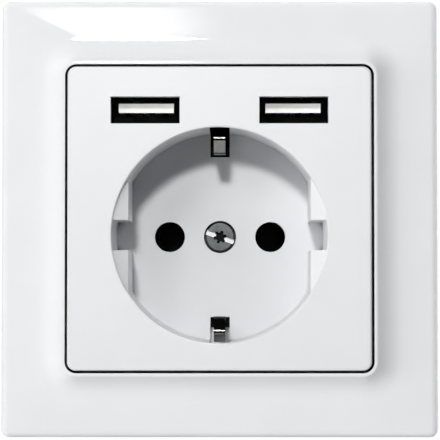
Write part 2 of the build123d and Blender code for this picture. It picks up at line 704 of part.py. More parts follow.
# Rear housing
with BuildPart() as rear_housing:
    with BuildSketch(front(body_end)):
        with Locations((0, (body_top + body_bottom) / 2)):
            Rectangle(2 * body_x, body_top - body_bottom)
        Circle(body_r, mode=Mode.INTERSECT)
    extrude(amount=BODY_DEPTH)
    fillet(rear_housing.faces().sort_by(Axis.Y)[-1].edges(), BODY_EDGE_R)
    # Guards between the wire entries
    with BuildSketch(front(body_end)):
        with Locations((-pin_x / 2, wire_z), (pin_x / 2, wire_z)):
            Rectangle(GUARD_T, GUARD_L)
    extrude(amount=-GUARD_H)
    with BuildSketch(front(rear_y)):
        with Locations((0, (body_top + body_bottom) / 2)):
            Rectangle(2 * (body_x - BODY_WALL), body_top - body_bottom - 2 * BODY_WALL)
        Circle(body_r - BODY_WALL, mode=Mode.INTERSECT)
        boss_w = body_x - housing_x + BOSS_R
        boss_x = body_x - boss_w / 2
        with Locations((-boss_x, HOUSING_SCREW_Z), (boss_x, HOUSING_SCREW_Z)):
            Rectangle(boss_w, 2 * BOSS_R, mode=Mode.SUBTRACT)
    extrude(amount=rear_y - body_y, mode=Mode.SUBTRACT)
    with BuildSketch(front(body_end)):
        with Locations(*rear_screws):
            Circle(SMALL_SCREW_R + HOLE_CLEAR)
        with Locations(*((x, wire_z) for x in terminal_x)):
            Circle(WIRE_HOLE_R)
    extrude(amount=BODY_DEPTH, mode=Mode.SUBTRACT)
    # Funnels of the wire entries, sunk panel and strip gauge
    with BuildSketch(front(body_end)):
        with Locations(*((x, wire_z) for x in terminal_x)):
            Circle(WIRE_HOLE_R + FUNNEL)
    extrude(amount=FUNNEL, taper=45, mode=Mode.SUBTRACT)
    with BuildSketch(front(body_end)):
        with Locations((0, core_z)):
            RectangleRounded(PANEL_W, PANEL_H, INNER_R)
        with Locations((0, RECESS_Z)):
            Rectangle(GAUGE_L, GAUGE_W)
    extrude(amount=PANEL_DEPTH, mode=Mode.SUBTRACT)
    with BuildSketch(Plane.XY.offset(body_bottom)):
        with Locations(*((x, terminal_y) for x in terminal_x)):
            Circle(TERMINAL_HEAD_R + TERMINAL_ROOM)
    extrude(amount=BODY_WALL, mode=Mode.SUBTRACT)
rear_housing.part.label = "rear_housing"
export_step(rear_housing.part, "parts/rear_housing.step")

# Two long screws from the back
with BuildPart() as housing_screws:
    with BuildSketch(front(body_end + SMALL_HEAD_T)):
        with Locations(*rear_screws):
            Circle(SMALL_HEAD_R)
    extrude(amount=SMALL_HEAD_T)
    with BuildSketch(front(body_end)):
        with Locations(*rear_screws):
            Circle(SMALL_SCREW_R)
    extrude(amount=body_end - cover_y - HOUSING_SCREW_SHORT)
    with BuildSketch(front(body_end + SMALL_HEAD_T)):
        with Locations(*rear_screws):
            Rectangle(CROSS_L, CROSS_W)
            Rectangle(CROSS_W, CROSS_L)
    extrude(amount=CROSS_DEPTH, mode=Mode.SUBTRACT)
housing_screws.part.label = "housing_screws"
export_step(housing_screws.part, "parts/housing_screws.step")

# Earth strap: bar in the groove, two spring clips and the terminal tab
with BuildPart() as earth_strap:
    with BuildSketch(front(groove_y)):
        with Locations((0, RECESS_Z)):
            Rectangle(STRAP_W, strap_l)
            Circle(SCREW_R + HOLE_CLEAR, mode=Mode.SUBTRACT)
    extrude(amount=STRAP_T)
    for up in (-1, 1):
        with BuildSketch(Plane.YZ):
            with BuildLine():
                FilletPolyline(
                    (groove_y - CLIP_T / 2, RECESS_Z + up * (RECESS_R - CLIP_FOOT_IN)),
                    (groove_y - CLIP_T / 2, RECESS_Z + up * (RECESS_R - CLIP_HEEL_IN)),
                    (floor_y - CLIP_RISE_UP, RECESS_Z + up * (RECESS_R - CLIP_RISE_IN)),
                    (FACE_Y + CLIP_NOSE_DROP, RECESS_Z + up * (RECESS_R - CLIP_NOSE_IN)),
                    (FACE_Y + CLIP_CREST_DROP, RECESS_Z + up * (RECESS_R - CLIP_CREST_IN)),
                    (FACE_Y + CLIP_TIP_DROP, RECESS_Z + up * (RECESS_R - CLIP_TIP_IN)),
                    radius=CLIP_BEND_R,
                )
                offset(amount=CLIP_T / 2, side=Side.BOTH)
            make_face()
        extrude(amount=CLIP_W / 2, both=True)
    with BuildSketch(Plane.XY.offset(tail_z)):
        with Locations((0, (groove_y + clamp_back) / 2)):
            Rectangle(TAIL_W - 2 * TAIL_FIT, clamp_back - groove_y + STRAP_T)
    extrude(amount=TAIL_T)
earth_strap.part.label = "earth_strap"
export_step(earth_strap.part, "parts/earth_strap.step")

# Square nut of the centre screw
with BuildPart() as centre_nut:
    with BuildSketch(front(body_y + NUT_T)):
        with Locations((0, RECESS_Z)):
            Rectangle(NUT_W, NUT_W)
            Circle(SCREW_R + THREAD_CLEAR, mode=Mode.SUBTRACT)
    extrude(amount=NUT_T)
centre_nut.part.label = "centre_nut"
export_step(centre_nut.part, "parts/centre_nut.step")

# Live contact: split sleeve with a tail to its terminal, and the neutral one as its mirror image
with BuildPart() as live_contact:
    with BuildSketch(front(contact_end)):
        with Locations((-pin_x, RECESS_Z)):
            Circle(sleeve_out)
            Circle(SLEEVE_IN, mode=Mode.SUBTRACT)
        with Locations((-pin_x, RECESS_Z + SLEEVE_IN)):
            Rectangle(SLEEVE_GAP, 2 * SLEEVE_IN, mode=Mode.SUBTRACT)
    extrude(amount=contact_end - body_y - SLEEVE_START)
    with BuildSketch(front(contact_end)):
        with Locations((-pin_x, (RECESS_Z - TAIL_UP + tail_z) / 2)):
            Rectangle(TAIL_W, RECESS_Z - TAIL_UP - tail_z)
    extrude(amount=TAIL_T)
    with BuildSketch(Plane.XY.offset(tail_z)):
        with Locations((-pin_x, (clamp_front + TAIL_ROOM + contact_end) / 2)):
            Rectangle(TAIL_W, contact_end - clamp_front - TAIL_ROOM)
    extrude(amount=TAIL_T)
live_contact.part.label = "live_contact"
export_step(live_contact.part, "parts/live_contact.step")

with BuildPart() as neutral_contact:
    mirror(live_contact.part, about=Plane.YZ)
neutral_contact.part.label = "neutral_contact"
export_step(neutral_contact.part, "parts/neutral_contact.step")

# Terminal cages
for clamp_name, clamp_x in zip(("live_clamp", "earth_clamp", "neutral_clamp"), terminal_x):
    with BuildPart() as clamp:
        with BuildSketch(front(clamp_back)):
            with Locations((clamp_x, clamp_mid)):
                Rectangle(CLAMP_W, CLAMP_H)
                Rectangle(CLAMP_W - 2 * CLAMP_T, CLAMP_H - 2 * CLAMP_T, mode=Mode.SUBTRACT)
        extrude(amount=CLAMP_L)
        with BuildSketch(Plane.XY.offset(clamp_low)):
            with Locations((clamp_x, terminal_y)):
                Circle(TERMINAL_R + THREAD_CLEAR)
        extrude(amount=CLAMP_T, mode=Mode.SUBTRACT)
    clamp.part.label = clamp_name
    export_step(clamp.part, f"parts/{clamp_name}.step")

# Terminal screws
with BuildPart() as terminal_screws:
    terminals = tuple((x, terminal_y) for x in terminal_x)
    head_z = base_bottom - TERMINAL_GAP
    with BuildSketch(Plane.XY.offset(head_z)):
        with Locations(*terminals):
            Circle(TERMINAL_HEAD_R)
    extrude(amount=-TERMINAL_HEAD_T)
    with BuildSketch(Plane.XY.offset(head_z)):
        with Locations(*terminals):
            Circle(TERMINAL_R)
    extrude(amount=TERMINAL_L)
    with BuildSketch(Plane.XY.offset(head_z - TERMINAL_HEAD_T)):
        with Locations(*terminals):
            Rectangle(3 * TERMINAL_HEAD_R, TERMINAL_SLOT)
            Rectangle(TERMINAL_SLOT, CROSS_L)
    extrude(amount=CROSS_DEPTH, mode=Mode.SUBTRACT)
terminal_screws.part.label = "terminal_screws"
export_step(terminal_screws.part, "parts/terminal_screws.step")

# USB receptacles
spring_front = plate_back + USB_SPRING_IN
for side, usb_x in (("left", usb_left), ("right", usb_right)):
    with BuildPart() as usb_shell:
        with BuildSketch(front(usb_board_y)):
            with Locations((usb_x, usb_z)):
                RectangleRounded(USB_SHELL_W, USB_SHELL_H, USB_SHELL_R)
                Rectangle(usb_inner_w, usb_inner_h, mode=Mode.SUBTRACT)
        extrude(amount=usb_board_y - plate_back)
        # Two contact springs cut out of the top and two out of the bottom, bent inwards
        for up in (-1, 1):
            skin_z = usb_z + up * usb_inner_h / 2
            with BuildSketch(Plane.XY.offset(skin_z)):
                for spring_x in (usb_x - USB_SPRING_X, usb_x + USB_SPRING_X):
                    with Locations((spring_x, spring_front)):
                        Rectangle(
                            USB_SPRING_W + 2 * USB_SPRING_CUT,
                            USB_SPRING_L + USB_SPRING_CUT,
                            align=(Align.CENTER, Align.MIN),
                        )
            extrude(amount=up * USB_SHELL_T, mode=Mode.SUBTRACT)
            for spring_x in (usb_x - USB_SPRING_X, usb_x + USB_SPRING_X):
                with BuildSketch(Plane.YZ.offset(spring_x)):
                    Polygon(
                        (spring_front, skin_z),
                        (spring_front, skin_z + up * USB_SHELL_T),
                        (spring_front + USB_SPRING_L, skin_z + up * (USB_SHELL_T - USB_SPRING_BEND)),
                        (spring_front + USB_SPRING_L, skin_z - up * USB_SPRING_BEND),
                        align=None,
                    )
                extrude(amount=USB_SPRING_W / 2, both=True)
    usb_shell.part.label = f"usb_shell_{side}"
    export_step(usb_shell.part, f"parts/usb_shell_{side}.step")

    with BuildPart() as usb_insulator:
        with BuildSketch(front(usb_board_y)):
            with Locations((usb_x, usb_z)):
                Rectangle(usb_inner_w - 2 * USB_BACK_FIT, usb_inner_h - 2 * USB_BACK_FIT)
        extrude(amount=USB_BACK_T)
        with BuildSketch(front(usb_back)):
            with Locations((usb_x, tongue_z)):
                Rectangle(USB_TONGUE_W, USB_TONGUE_H)
        extrude(amount=USB_TONGUE_L)
        with BuildSketch(front(usb_board_y)):
            for pin in usb_pins:
                with Locations((usb_x + pin, contact_z)):
                    Rectangle(USB_CONTACT_W + 2 * USB_BACK_FIT, USB_CONTACT_T)
        extrude(amount=USB_BACK_T, mode=Mode.SUBTRACT)
    usb_insulator.part.label = f"usb_insulator_{side}"
    export_step(usb_insulator.part, f"parts/usb_insulator_{side}.step")

    with BuildPart() as usb_contacts:
        with BuildSketch(front(usb_board_y)):
            for pin in usb_pins:
                with Locations((usb_x + pin, contact_z)):
                    Rectangle(USB_CONTACT_W, USB_CONTACT_T)
        extrude(amount=usb_board_y - tongue_y - USB_CONTACT_DROP)
    usb_contacts.part.label = f"usb_contacts_{side}"
    export_step(usb_contacts.part, f"parts/usb_contacts_{side}.step")

# USB board in the tower
with BuildPart() as usb_board:
    with BuildSketch(front(usb_board_back)):
        with Locations((0, (sill_z + lintel_z) / 2)):
            Rectangle(2 * (tower_x - TOWER_WALL - BOARD_FIT), lintel_z - sill_z - 2 * BOARD_FIT)
        Circle(tower_r - TOWER_SKIN - BOARD_FIT, mode=Mode.INTERSECT)
        with Locations((0, RECESS_Z)):
            Circle(ring_hole_r + TOWER_WALL / 2 + BOARD_FIT, mode=Mode.SUBTRACT)
    extrude(amount=BOARD_T)
usb_board.part.label = "usb_board"
export_step(usb_board.part, "parts/usb_board.step")

# Power board with its parts
with BuildPart() as power_board:
    with BuildSketch(front(power_back)):
        with Locations((0, (base_top + power_top) / 2)):
            Rectangle(2 * base_x, power_top - base_top)
        Circle(body_r - BODY_WALL - BOARD_FIT, mode=Mode.INTERSECT)
    extrude(amount=BOARD_T)
power_board.part.label = "power_board"
export_step(power_board.part, "parts/power_board.step")

with BuildPart() as board_link:
    with BuildSketch(front(power_y)):
        with GridLocations(LINK_PITCH, 0, 4, 1):
            with Locations((0, link_z)):
                Rectangle(LINK_W, LINK_W)
    extrude(amount=power_y - usb_board_back)
board_link.part.label = "board_link"
export_step(board_link.part, "parts/board_link.step")

with BuildPart() as supply_leads:
    with BuildSketch(Plane.XY.offset(lead_low)):
        with Locations((-lead_x, lead_y), (lead_x, lead_y)):
            Circle(LEAD_R)
    extrude(amount=base_top + LEAD_UP - lead_low)
supply_leads.part.label = "supply_leads"
export_step(supply_leads.part, "parts/supply_leads.step")

with BuildPart() as transformer_core:
    with BuildSketch(front(power_back + core_d)):
        with Locations((0, core_z)):
            Rectangle(CORE_W, core_h)
            Rectangle(CORE_W - 2 * CORE_LEG, core_h - 2 * CORE_YOKE, mode=Mode.SUBTRACT)
    extrude(amount=core_d)
transformer_core.part.label = "transformer_core"
export_step(transformer_core.part, "parts/transformer_core.step")

with BuildPart() as transformer_winding:
    with BuildSketch(front(power_back + core_d - CORE_LEG / 2)):
        with Locations((0, core_z)):
            RectangleRounded(CORE_W - 2 * CORE_LEG, core_h - 2 * CORE_YOKE, INNER_R)
    extrude(amount=core_d - CORE_LEG / 2)
transformer_winding.part.label = "transformer_winding"
export_step(transformer_winding.part, "parts/transformer_winding.step")

with BuildPart() as smoothing_capacitors:
    with BuildSketch(front(rear_y - CAP_ROOM)):
        with Locations((-cap_x, cap_z), (cap_x, cap_z)):
            Circle(CAP_R)
    extrude(amount=rear_y - CAP_ROOM - power_back)
    fillet(smoothing_capacitors.faces().sort_by(Axis.Y)[-1].edges(), CAP_EDGE_R)
smoothing_capacitors.part.label = "smoothing_capacitors"
export_step(smoothing_capacitors.part, "parts/smoothing_capacitors.step")

# Spreading claws: right one, and the left one as its mirror image
with BuildPart() as claw_right:
    for up in (-1, 1):
        with BuildSketch(Plane.XY.offset(up * (CLAW_HALF - CLAW_T / 2))):
            Polygon(
                (claw_x - CLAW_HUB_R, CLAW_Y - CLAW_HUB_FRONT),
                (claw_x + CLAW_HUB_R, CLAW_Y - CLAW_HUB_FRONT),
                (claw_back, CLAW_Y + CLAW_KNEE),
                (claw_back, claw_end),
                (claw_screw_x + LUG_IN, claw_end),
                (claw_web - CLAW_WAIST_IN, CLAW_Y + CLAW_WAIST),
                (claw_x - CLAW_HUB_R, CLAW_Y + CLAW_HUB_BACK),
                align=None,
            )
        extrude(amount=CLAW_T / 2, both=True)
        with BuildSketch(Plane.XY.offset(up * (CLAW_HALF - CLAW_T / 2))):
            with Locations((claw_x, CLAW_Y)):
                Circle(CLAW_PIN_R)
        extrude(amount=up * (1.5 * CLAW_T + HOLE_CLEAR))
    with BuildSketch(Plane.XY):
        with Locations((claw_web + CLAW_T / 2, (CLAW_Y + CLAW_KNEE + claw_end) / 2)):
            Rectangle(CLAW_T, claw_end - CLAW_Y - CLAW_KNEE)
        with Locations(((claw_screw_x + claw_back) / 2, claw_end - LUG_T / 2)):
            Rectangle(claw_back - claw_screw_x, LUG_T)
    extrude(amount=CLAW_HALF, both=True)
    with BuildSketch(front(claw_end)):
        with Locations((claw_screw_x, 0)):
            SlotOverall(2 * CLAW_SCREW_R + LUG_SLOT_L, 2 * CLAW_SCREW_R + LUG_SLOT_W)
    extrude(amount=LUG_T, mode=Mode.SUBTRACT)
    # Teeth that bite into the wall box
    for tooth_z in (-TOOTH_Z, TOOTH_Z):
        with BuildSketch(Plane.XY.offset(tooth_z)):
            Polygon(
                (claw_back - TOOTH_ROOT, claw_end),
                (claw_back + TOOTH_OUT, claw_end - TOOTH_ROOT),
                (claw_back - TOOTH_ROOT, claw_end - TOOTH_L),
                align=None,
            )
        extrude(amount=TOOTH_W / 2, both=True)
claw_right.part.label = "claw_right"
export_step(claw_right.part, "parts/claw_right.step")

with BuildPart() as claw_left:
    mirror(claw_right.part, about=Plane.YZ)
claw_left.part.label = "claw_left"
export_step(claw_left.part, "parts/claw_left.step")

# Claw screws and their square nuts
for side, screw_x in (("left", -claw_screw_x), ("right", claw_screw_x)):
    with BuildPart() as claw_screw:
        with BuildSketch(front(-RING_T)):
            with Locations((screw_x, 0)):
                Circle(CLAW_HEAD_R)
        extrude(amount=CLAW_HEAD_T)
        with BuildSketch(front(claw_end + CLAW_SCREW_END)):
            with Locations((screw_x, 0)):
                Circle(CLAW_SCREW_R)
        extrude(amount=claw_end + CLAW_SCREW_END + RING_T)
        with BuildSketch(front(CLAW_HEAD_SLOT - RING_T - CLAW_HEAD_T)):
            with Locations((screw_x, 0)):
                Rectangle(3 * CLAW_HEAD_R, CLAW_HEAD_SLOT)
        extrude(amount=CLAW_HEAD_SLOT, mode=Mode.SUBTRACT)
    claw_screw.part.label = f"claw_screw_{side}"
    export_step(claw_screw.part, f"parts/claw_screw_{side}.step")

    with BuildPart() as claw_nut:
        with BuildSketch(front(claw_end + CLAW_NUT_GAP + CLAW_NUT_T)):
            with Locations((screw_x, 0)):
                Rectangle(CLAW_NUT_W, CLAW_NUT_W)
                Circle(CLAW_SCREW_R + THREAD_CLEAR, mode=Mode.SUBTRACT)
        extrude(amount=CLAW_NUT_T)
    claw_nut.part.label = f"claw_nut_{side}"
    export_step(claw_nut.part, f"parts/claw_nut_{side}.step")
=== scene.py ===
import math

import bpy
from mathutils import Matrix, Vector

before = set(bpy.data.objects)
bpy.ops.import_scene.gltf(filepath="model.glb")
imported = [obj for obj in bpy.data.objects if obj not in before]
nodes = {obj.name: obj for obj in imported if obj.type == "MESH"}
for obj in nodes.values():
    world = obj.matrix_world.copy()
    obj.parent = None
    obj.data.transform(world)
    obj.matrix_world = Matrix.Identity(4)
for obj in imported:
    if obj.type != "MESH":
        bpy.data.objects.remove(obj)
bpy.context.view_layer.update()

# The part is measured in millimetres, the scene in metres
MM = 0.001
# Painted shade in narrow places, darkening the colour, as (reach in mm, open share that is still dark, open share
# that is clear)
GAP_SHADE = (2.0, 0.20, 0.50)
PORT_SHADE = (6.0, 0.50, 1.00)
DRIVE_SHADE = (1.0, 0.35, 0.60)
# Painted shade inside the USB ports, darkening the colour with depth, as (clear, dark) in mm behind the wall's
# surface; the part's front is at -10
PORT_DEPTH_SHADE = (-7.9, -6.9)
TONGUE_DEPTH_SHADE = (-4.3, -3.4)
# Near-black colour of painted shade, put where only shade falls, and white of the satin plastic
PAINTED_SHADE_BLACK = "050505"
SATIN_WHITE = "e2e3e5"
# Recess with its earth slots in mm, a little larger than on the part, and the cover behind them up to SLOT_BACK,
# which mark where the upper slot gets painted shade
RECESS_Z = -3.0
RECESS_R = 19.53
SLOT_SIDE = 2.0
SLOT_FRONT = -9.35
SLOT_BACK = 12.0
SLOT_TOP = 17.6
# Shine of a plain plastic, as Specular IOR Level
PLAIN_SHINE = 0.5
# Slot of the centre screw: depth of its floor and the depth on both sides that counts as floor, in mm, and how far
# the floor is metal to the eye: the floor is a painted highlight that scatters most of the light
SCREW_SLOT_DEPTH = 0.5
SCREW_SLOT_SPAN = 0.1
SCREW_SLOT_METALLIC = 0.2
# Strength of the light that the paper behind the part throws on it
PAPER_LIGHT = 0.03
# Floor, in metres
FLOOR_SIZE = 8.0
FLOOR_DROP = 2.0


def linear(hex_text):
    """Linear colour with alpha from an sRGB hex text."""
    parts = [int(hex_text[place:place + 2], 16) / 255 for place in (0, 2, 4)]
    return (*(p / 12.92 if p <= 0.04045 else ((p + 0.055) / 1.055) ** 2.4 for p in parts), 1.0)


def add(tree, kind, settings=None, values=None, links=None):
    """Add one shader node with its settings, socket values and incoming links."""
    node = tree.nodes.new(kind)
    for name, value in (settings or {}).items():
        setattr(node, name, value)
    for name, value in (values or {}).items():
        node.inputs[name].default_value = value
    for name, socket in (links or {}).items():
        tree.links.new(socket, node.inputs[name])
    return node


def new_material(name):
    """Empty material, its node tree, its output node and its coordinates in metres."""
    material = bpy.data.materials.new(name)
    material.use_nodes = True
    tree = material.node_tree
    tree.nodes.clear()
    output = add(tree, "ShaderNodeOutputMaterial")
    place = add(tree, "ShaderNodeTexCoord").outputs["Object"]
    return material, tree, output, place


def surface(name, light, dark, rough, metallic=0.0, cloud_mm=9.0, grain_mm=0.5, grain_depth_mm=0.002, shade=None,
            inside=None):
    """Material with a faint colour cloud, uneven gloss and a fine surface grain, all sized in mm.

    rough is the roughness in the dark and in the light part of the cloud. shade paints shade into the colour: it
    darkens walls with little open air round them, and inside is painted shade too: it darkens what lies deeper than
    that, as (clear, dark) in mm behind the wall's surface.
    A grain that is too fine to show is drawn coarser than the real one, at 0.2 to 0.6 mm.
    """
    material, tree, output, place = new_material(name)
    cloud = add(tree, "ShaderNodeTexNoise", values={"Scale": 1 / (cloud_mm * MM)}, links={"Vector": place})
    level = add(tree, "ShaderNodeMapRange", values={"From Min": 0.3, "From Max": 0.7},
                links={"Value": cloud.outputs["Fac"]}).outputs["Result"]
    tint = add(tree, "ShaderNodeMix", {"data_type": "RGBA"}, {"A": linear(dark), "B": linear(light)},
               {"Factor": level}).outputs["Result"]
    gloss = add(tree, "ShaderNodeMapRange", values={"To Min": rough[0], "To Max": rough[1]}, links={"Value": level})
    # Painted shade: walls with little open air round them turn towards near black
    if shade:
        air = add(tree, "ShaderNodeAmbientOcclusion", {"samples": 8}, {"Distance": shade[0] * MM})
        clear = add(tree, "ShaderNodeMapRange", values={"From Min": shade[1], "From Max": shade[2]},
                    links={"Value": air.outputs["AO"]})
        tint = add(tree, "ShaderNodeMix", {"data_type": "RGBA"}, {"A": linear(PAINTED_SHADE_BLACK)},
                   {"Factor": clear.outputs["Result"], "B": tint}).outputs["Result"]
    # Painted shade: what lies deeper turns towards near black
    if inside:
        depth = add(tree, "ShaderNodeSeparateXYZ", links={"Vector": place}).outputs["Y"]
        deep = add(tree, "ShaderNodeMapRange", values={"From Min": inside[0] * MM, "From Max": inside[1] * MM},
                   links={"Value": depth})
        tint = add(tree, "ShaderNodeMix", {"data_type": "RGBA"}, {"B": linear(PAINTED_SHADE_BLACK)},
                   {"Factor": deep.outputs["Result"], "A": tint}).outputs["Result"]
    grain = add(tree, "ShaderNodeTexNoise", values={"Scale": 1 / (grain_mm * MM)}, links={"Vector": place})
    bump = add(tree, "ShaderNodeBump", values={"Strength": 1.0, "Distance": grain_depth_mm * MM},
               links={"Height": grain.outputs["Fac"]})
    shader = add(tree, "ShaderNodeBsdfPrincipled", values={"Metallic": metallic}, links={
        "Base Color": tint,
        "Roughness": gloss.outputs["Result"],
        "Normal": bump.outputs["Normal"],
    })
    tree.links.new(shader.outputs["BSDF"], output.inputs["Surface"])
    return material


finishes = {
    # Thermoset from a polished mould: clean white that mirrors the lamps, with a long soft wave in the gloss, and
    # painted shade in narrow gaps
    "white_gloss": surface("moulded white thermoset, polished", "e8e9eb", "e6e7e9", (0.02, 0.035),
                           grain_mm=8.0, grain_depth_mm=0.008, shade=GAP_SHADE),
    # The same plastic from a fine satin mould: a broad soft sheen, and painted shade in narrow gaps
    "white_satin": surface("moulded white thermoset, fine satin", SATIN_WHITE, "e0e1e3", (0.34, 0.40),
                           grain_mm=0.35, shade=GAP_SHADE),
    # Turned and zinc-plated: cool grey with a dull shine, with painted shade in the drives
    "zinc_steel": surface("zinc-plated steel, turned", "b4b8bb", "9a9ea2", (0.42, 0.50), 1.0, 1.5, 0.3,
                          shade=DRIVE_SHADE),
    # Hot-dipped sheet: grey with faint clouds of spangle
    "galvanised_steel": surface("galvanised steel sheet, stamped", "b4b8ba", "9a9ea2", (0.30, 0.45), 1.0, 4.0, 0.6),
    # Moulded without a finish coat: matt, a little warm
    "white_carrier": surface("moulded white polyamide", "ebebe8", "e4e4e1", (0.45, 0.55)),
    # Deep matt black
    "black_base": surface("moulded black thermoset", "1d1d1e", "161617", (0.5, 0.6)),
    # Plain light grey, matt
    "grey_housing": surface("moulded light grey polyamide", "c6c8c9", "bcbfc0", (0.45, 0.55)),
    # Bright plating on smooth strip: hard dark and white reflections
    "nickel_spring": surface("nickel-plated spring bronze", "82827f", "777774", (0.10, 0.15), 1.0, 2.0, 4.0),
    # Stamped and tinned: soft silver, with painted shade inside the pin holes
    "contact_brass": surface("tin-plated brass, stamped", "b9b8b4", "a5a4a0", (0.22, 0.34), 1.0, 2.0,
                             shade=PORT_SHADE),
    # Drawn and tinned: silver edges, with painted shade inside the port
    "shell_steel": surface("tin-plated steel, drawn", "9b9da0", "8a8c8f", (0.18, 0.28), 1.0, 3.0, 0.6,
                           inside=PORT_DEPTH_SHADE),
    # Plain white, matt, with painted shade behind the front of the tongue
    "tongue_plastic": surface("moulded white polyester", "f0f0ee", "e8e8e6", (0.4, 0.5), cloud_mm=3.0,
                              inside=TONGUE_DEPTH_SHADE),
    # Thin yellow plating with a sharp shine, and painted shade in the port
    "gold_contact": surface("gold-plated phosphor bronze", "d9b25a", "cba24c", (0.16, 0.24), 1.0, 1.5, 0.4,
                            shade=PORT_SHADE),
    # Laminate under resist: deep green, half gloss
    "circuit_board": surface("glass-epoxy board with green resist", "1f5a36", "1a4d2e", (0.35, 0.45), cloud_mm=3.0),
    # Dipped wire: silver with a soft shine
    "tinned_copper": surface("tinned copper wire, dipped", "c4c3c0", "b1b0ad", (0.22, 0.32), 1.0, 1.5, 0.4),
    # Pressed and fired powder: charcoal, grainy
    "ferrite": surface("sintered ferrite", "3a3b3d", "2e2f31", (0.55, 0.7), cloud_mm=2.0, grain_mm=0.2),
    # Smooth yellow film
    "winding_tape": surface("polyester winding tape", "d9b84a", "caa83e", (0.3, 0.4), cloud_mm=3.0),
    # Shrunk sleeve: nearly black with a soft shine
    "capacitor_can": surface("sleeved aluminium can", "23262b", "1c1f23", (0.3, 0.4), cloud_mm=4.0),
}
# Earth slots: painted shade, near black and without shine, on the walls of the upper one and on the cover behind it,
# where the groove lies in shade; the walls of the lower one lie open to the lamps and keep the plain satin white,
# without the painted gap shade
for finish, least_from_axis, front in (("white_satin", RECESS_R, SLOT_FRONT), ("white_carrier", 0.0, 0.0)):
    tree = finishes[finish].node_tree
    shader = tree.nodes["Principled BSDF"]
    own_tint = shader.inputs["Base Color"].links[0].from_socket
    axes = add(tree, "ShaderNodeSeparateXYZ",
               links={"Vector": add(tree, "ShaderNodeTexCoord").outputs["Object"]}).outputs
    flat = add(tree, "ShaderNodeCombineXYZ", links={"X": axes["X"], "Z": axes["Z"]}).outputs["Vector"]
    from_axis = add(tree, "ShaderNodeVectorMath", {"operation": "DISTANCE"}, {1: (0.0, 0.0, RECESS_Z * MM)},
                    {0: flat}).outputs["Value"]
    aside = add(tree, "ShaderNodeMath", {"operation": "ABSOLUTE"}, links={0: axes["X"]}).outputs["Value"]
    slot = add(tree, "ShaderNodeMath", {"operation": "LESS_THAN"}, {1: SLOT_SIDE * MM}, {0: aside}).outputs["Value"]
    for value, test, limit in (
        (from_axis, "GREATER_THAN", least_from_axis),
        (axes["Y"], "GREATER_THAN", front),
        (axes["Y"], "LESS_THAN", SLOT_BACK),
        (axes["Z"], "LESS_THAN", SLOT_TOP),
    ):
        kept = add(tree, "ShaderNodeMath", {"operation": test}, {1: limit * MM}, {0: value}).outputs["Value"]
        slot = add(tree, "ShaderNodeMath", {"operation": "MULTIPLY"}, links={0: slot, 1: kept}).outputs["Value"]
    upper = add(tree, "ShaderNodeMath", {"operation": "GREATER_THAN"}, {1: 0.0}, {0: axes["Z"]}).outputs["Value"]
    # Painted shade: the upper slot's walls near black, the lower slot's walls plain satin white
    wall = add(tree, "ShaderNodeMix", {"data_type": "RGBA"}, {"A": linear(SATIN_WHITE), "B": linear(PAINTED_SHADE_BLACK)},
               {"Factor": upper}).outputs["Result"]
    tint = add(tree, "ShaderNodeMix", {"data_type": "RGBA"}, links={"Factor": slot, "A": own_tint, "B": wall})
    tree.links.new(tint.outputs["Result"], shader.inputs["Base Color"])
    # Painted shade: no shine in the upper slot
    dull = add(tree, "ShaderNodeMath", {"operation": "MULTIPLY"}, links={0: slot, 1: upper}).outputs["Value"]
    shine = add(tree, "ShaderNodeMath", {"operation": "MULTIPLY_ADD"}, {1: -PLAIN_SHINE, 2: PLAIN_SHINE}, {0: dull})
    tree.links.new(shine.outputs["Value"], shader.inputs["Specular IOR Level"])

for entry in nodes.values():
    entry.data.materials[0] = finishes[entry.data.materials[0].name.split(".")[0]]

# Centre screw, turned and zinc-plated: dull grey face; the floor of the slot is a painted highlight, near white and
# mostly not metal, and the star drive behind it is painted shade, near black
slot_floor = min(vertex.co.y for vertex in nodes["centre_screw"].data.vertices) + SCREW_SLOT_DEPTH * MM
material, tree, output, place = new_material("zinc-plated steel, turned head with milled slot")
depth = add(tree, "ShaderNodeSeparateXYZ", links={"Vector": place}).outputs["Y"]
slot = add(tree, "ShaderNodeMath", {"operation": "COMPARE"}, {1: slot_floor, 2: SCREW_SLOT_SPAN * MM},
           {0: depth}).outputs[0]
drive = add(tree, "ShaderNodeMath", {"operation": "GREATER_THAN"}, {1: slot_floor + SCREW_SLOT_SPAN * MM},
            {0: depth}).outputs[0]
cloud = add(tree, "ShaderNodeTexNoise", values={"Scale": 1 / (1.2 * MM)}, links={"Vector": place}).outputs["Fac"]
face = add(tree, "ShaderNodeMix", {"data_type": "RGBA"}, {"A": linear("4c5052"), "B": linear("707374")},
           {"Factor": cloud}).outputs["Result"]
# Painted highlight: the floor of the slot near white
face = add(tree, "ShaderNodeMix", {"data_type": "RGBA"}, {"B": linear("f4f4f2")},
           {"Factor": slot, "A": face}).outputs["Result"]
# Painted shade: the star drive near black
face = add(tree, "ShaderNodeMix", {"data_type": "RGBA"}, {"B": linear("161718")},
           {"Factor": drive, "A": face}).outputs["Result"]
grain = add(tree, "ShaderNodeTexNoise", values={"Scale": 1 / (0.3 * MM)}, links={"Vector": place})
bump = add(tree, "ShaderNodeBump", values={"Strength": 1.0, "Distance": 0.002 * MM},
           links={"Height": grain.outputs["Fac"]})
metal = add(tree, "ShaderNodeMath", {"operation": "MULTIPLY_ADD"}, {1: SCREW_SLOT_METALLIC - 1.0, 2: 1.0},
            {0: slot}).outputs[0]
shader = add(tree, "ShaderNodeBsdfPrincipled", values={"Roughness": 0.4}, links={
    "Base Color": face,
    "Metallic": metal,
    "Normal": bump.outputs["Normal"],
})
tree.links.new(shader.outputs["BSDF"], output.inputs["Surface"])
nodes["centre_screw"].data.materials[0] = material

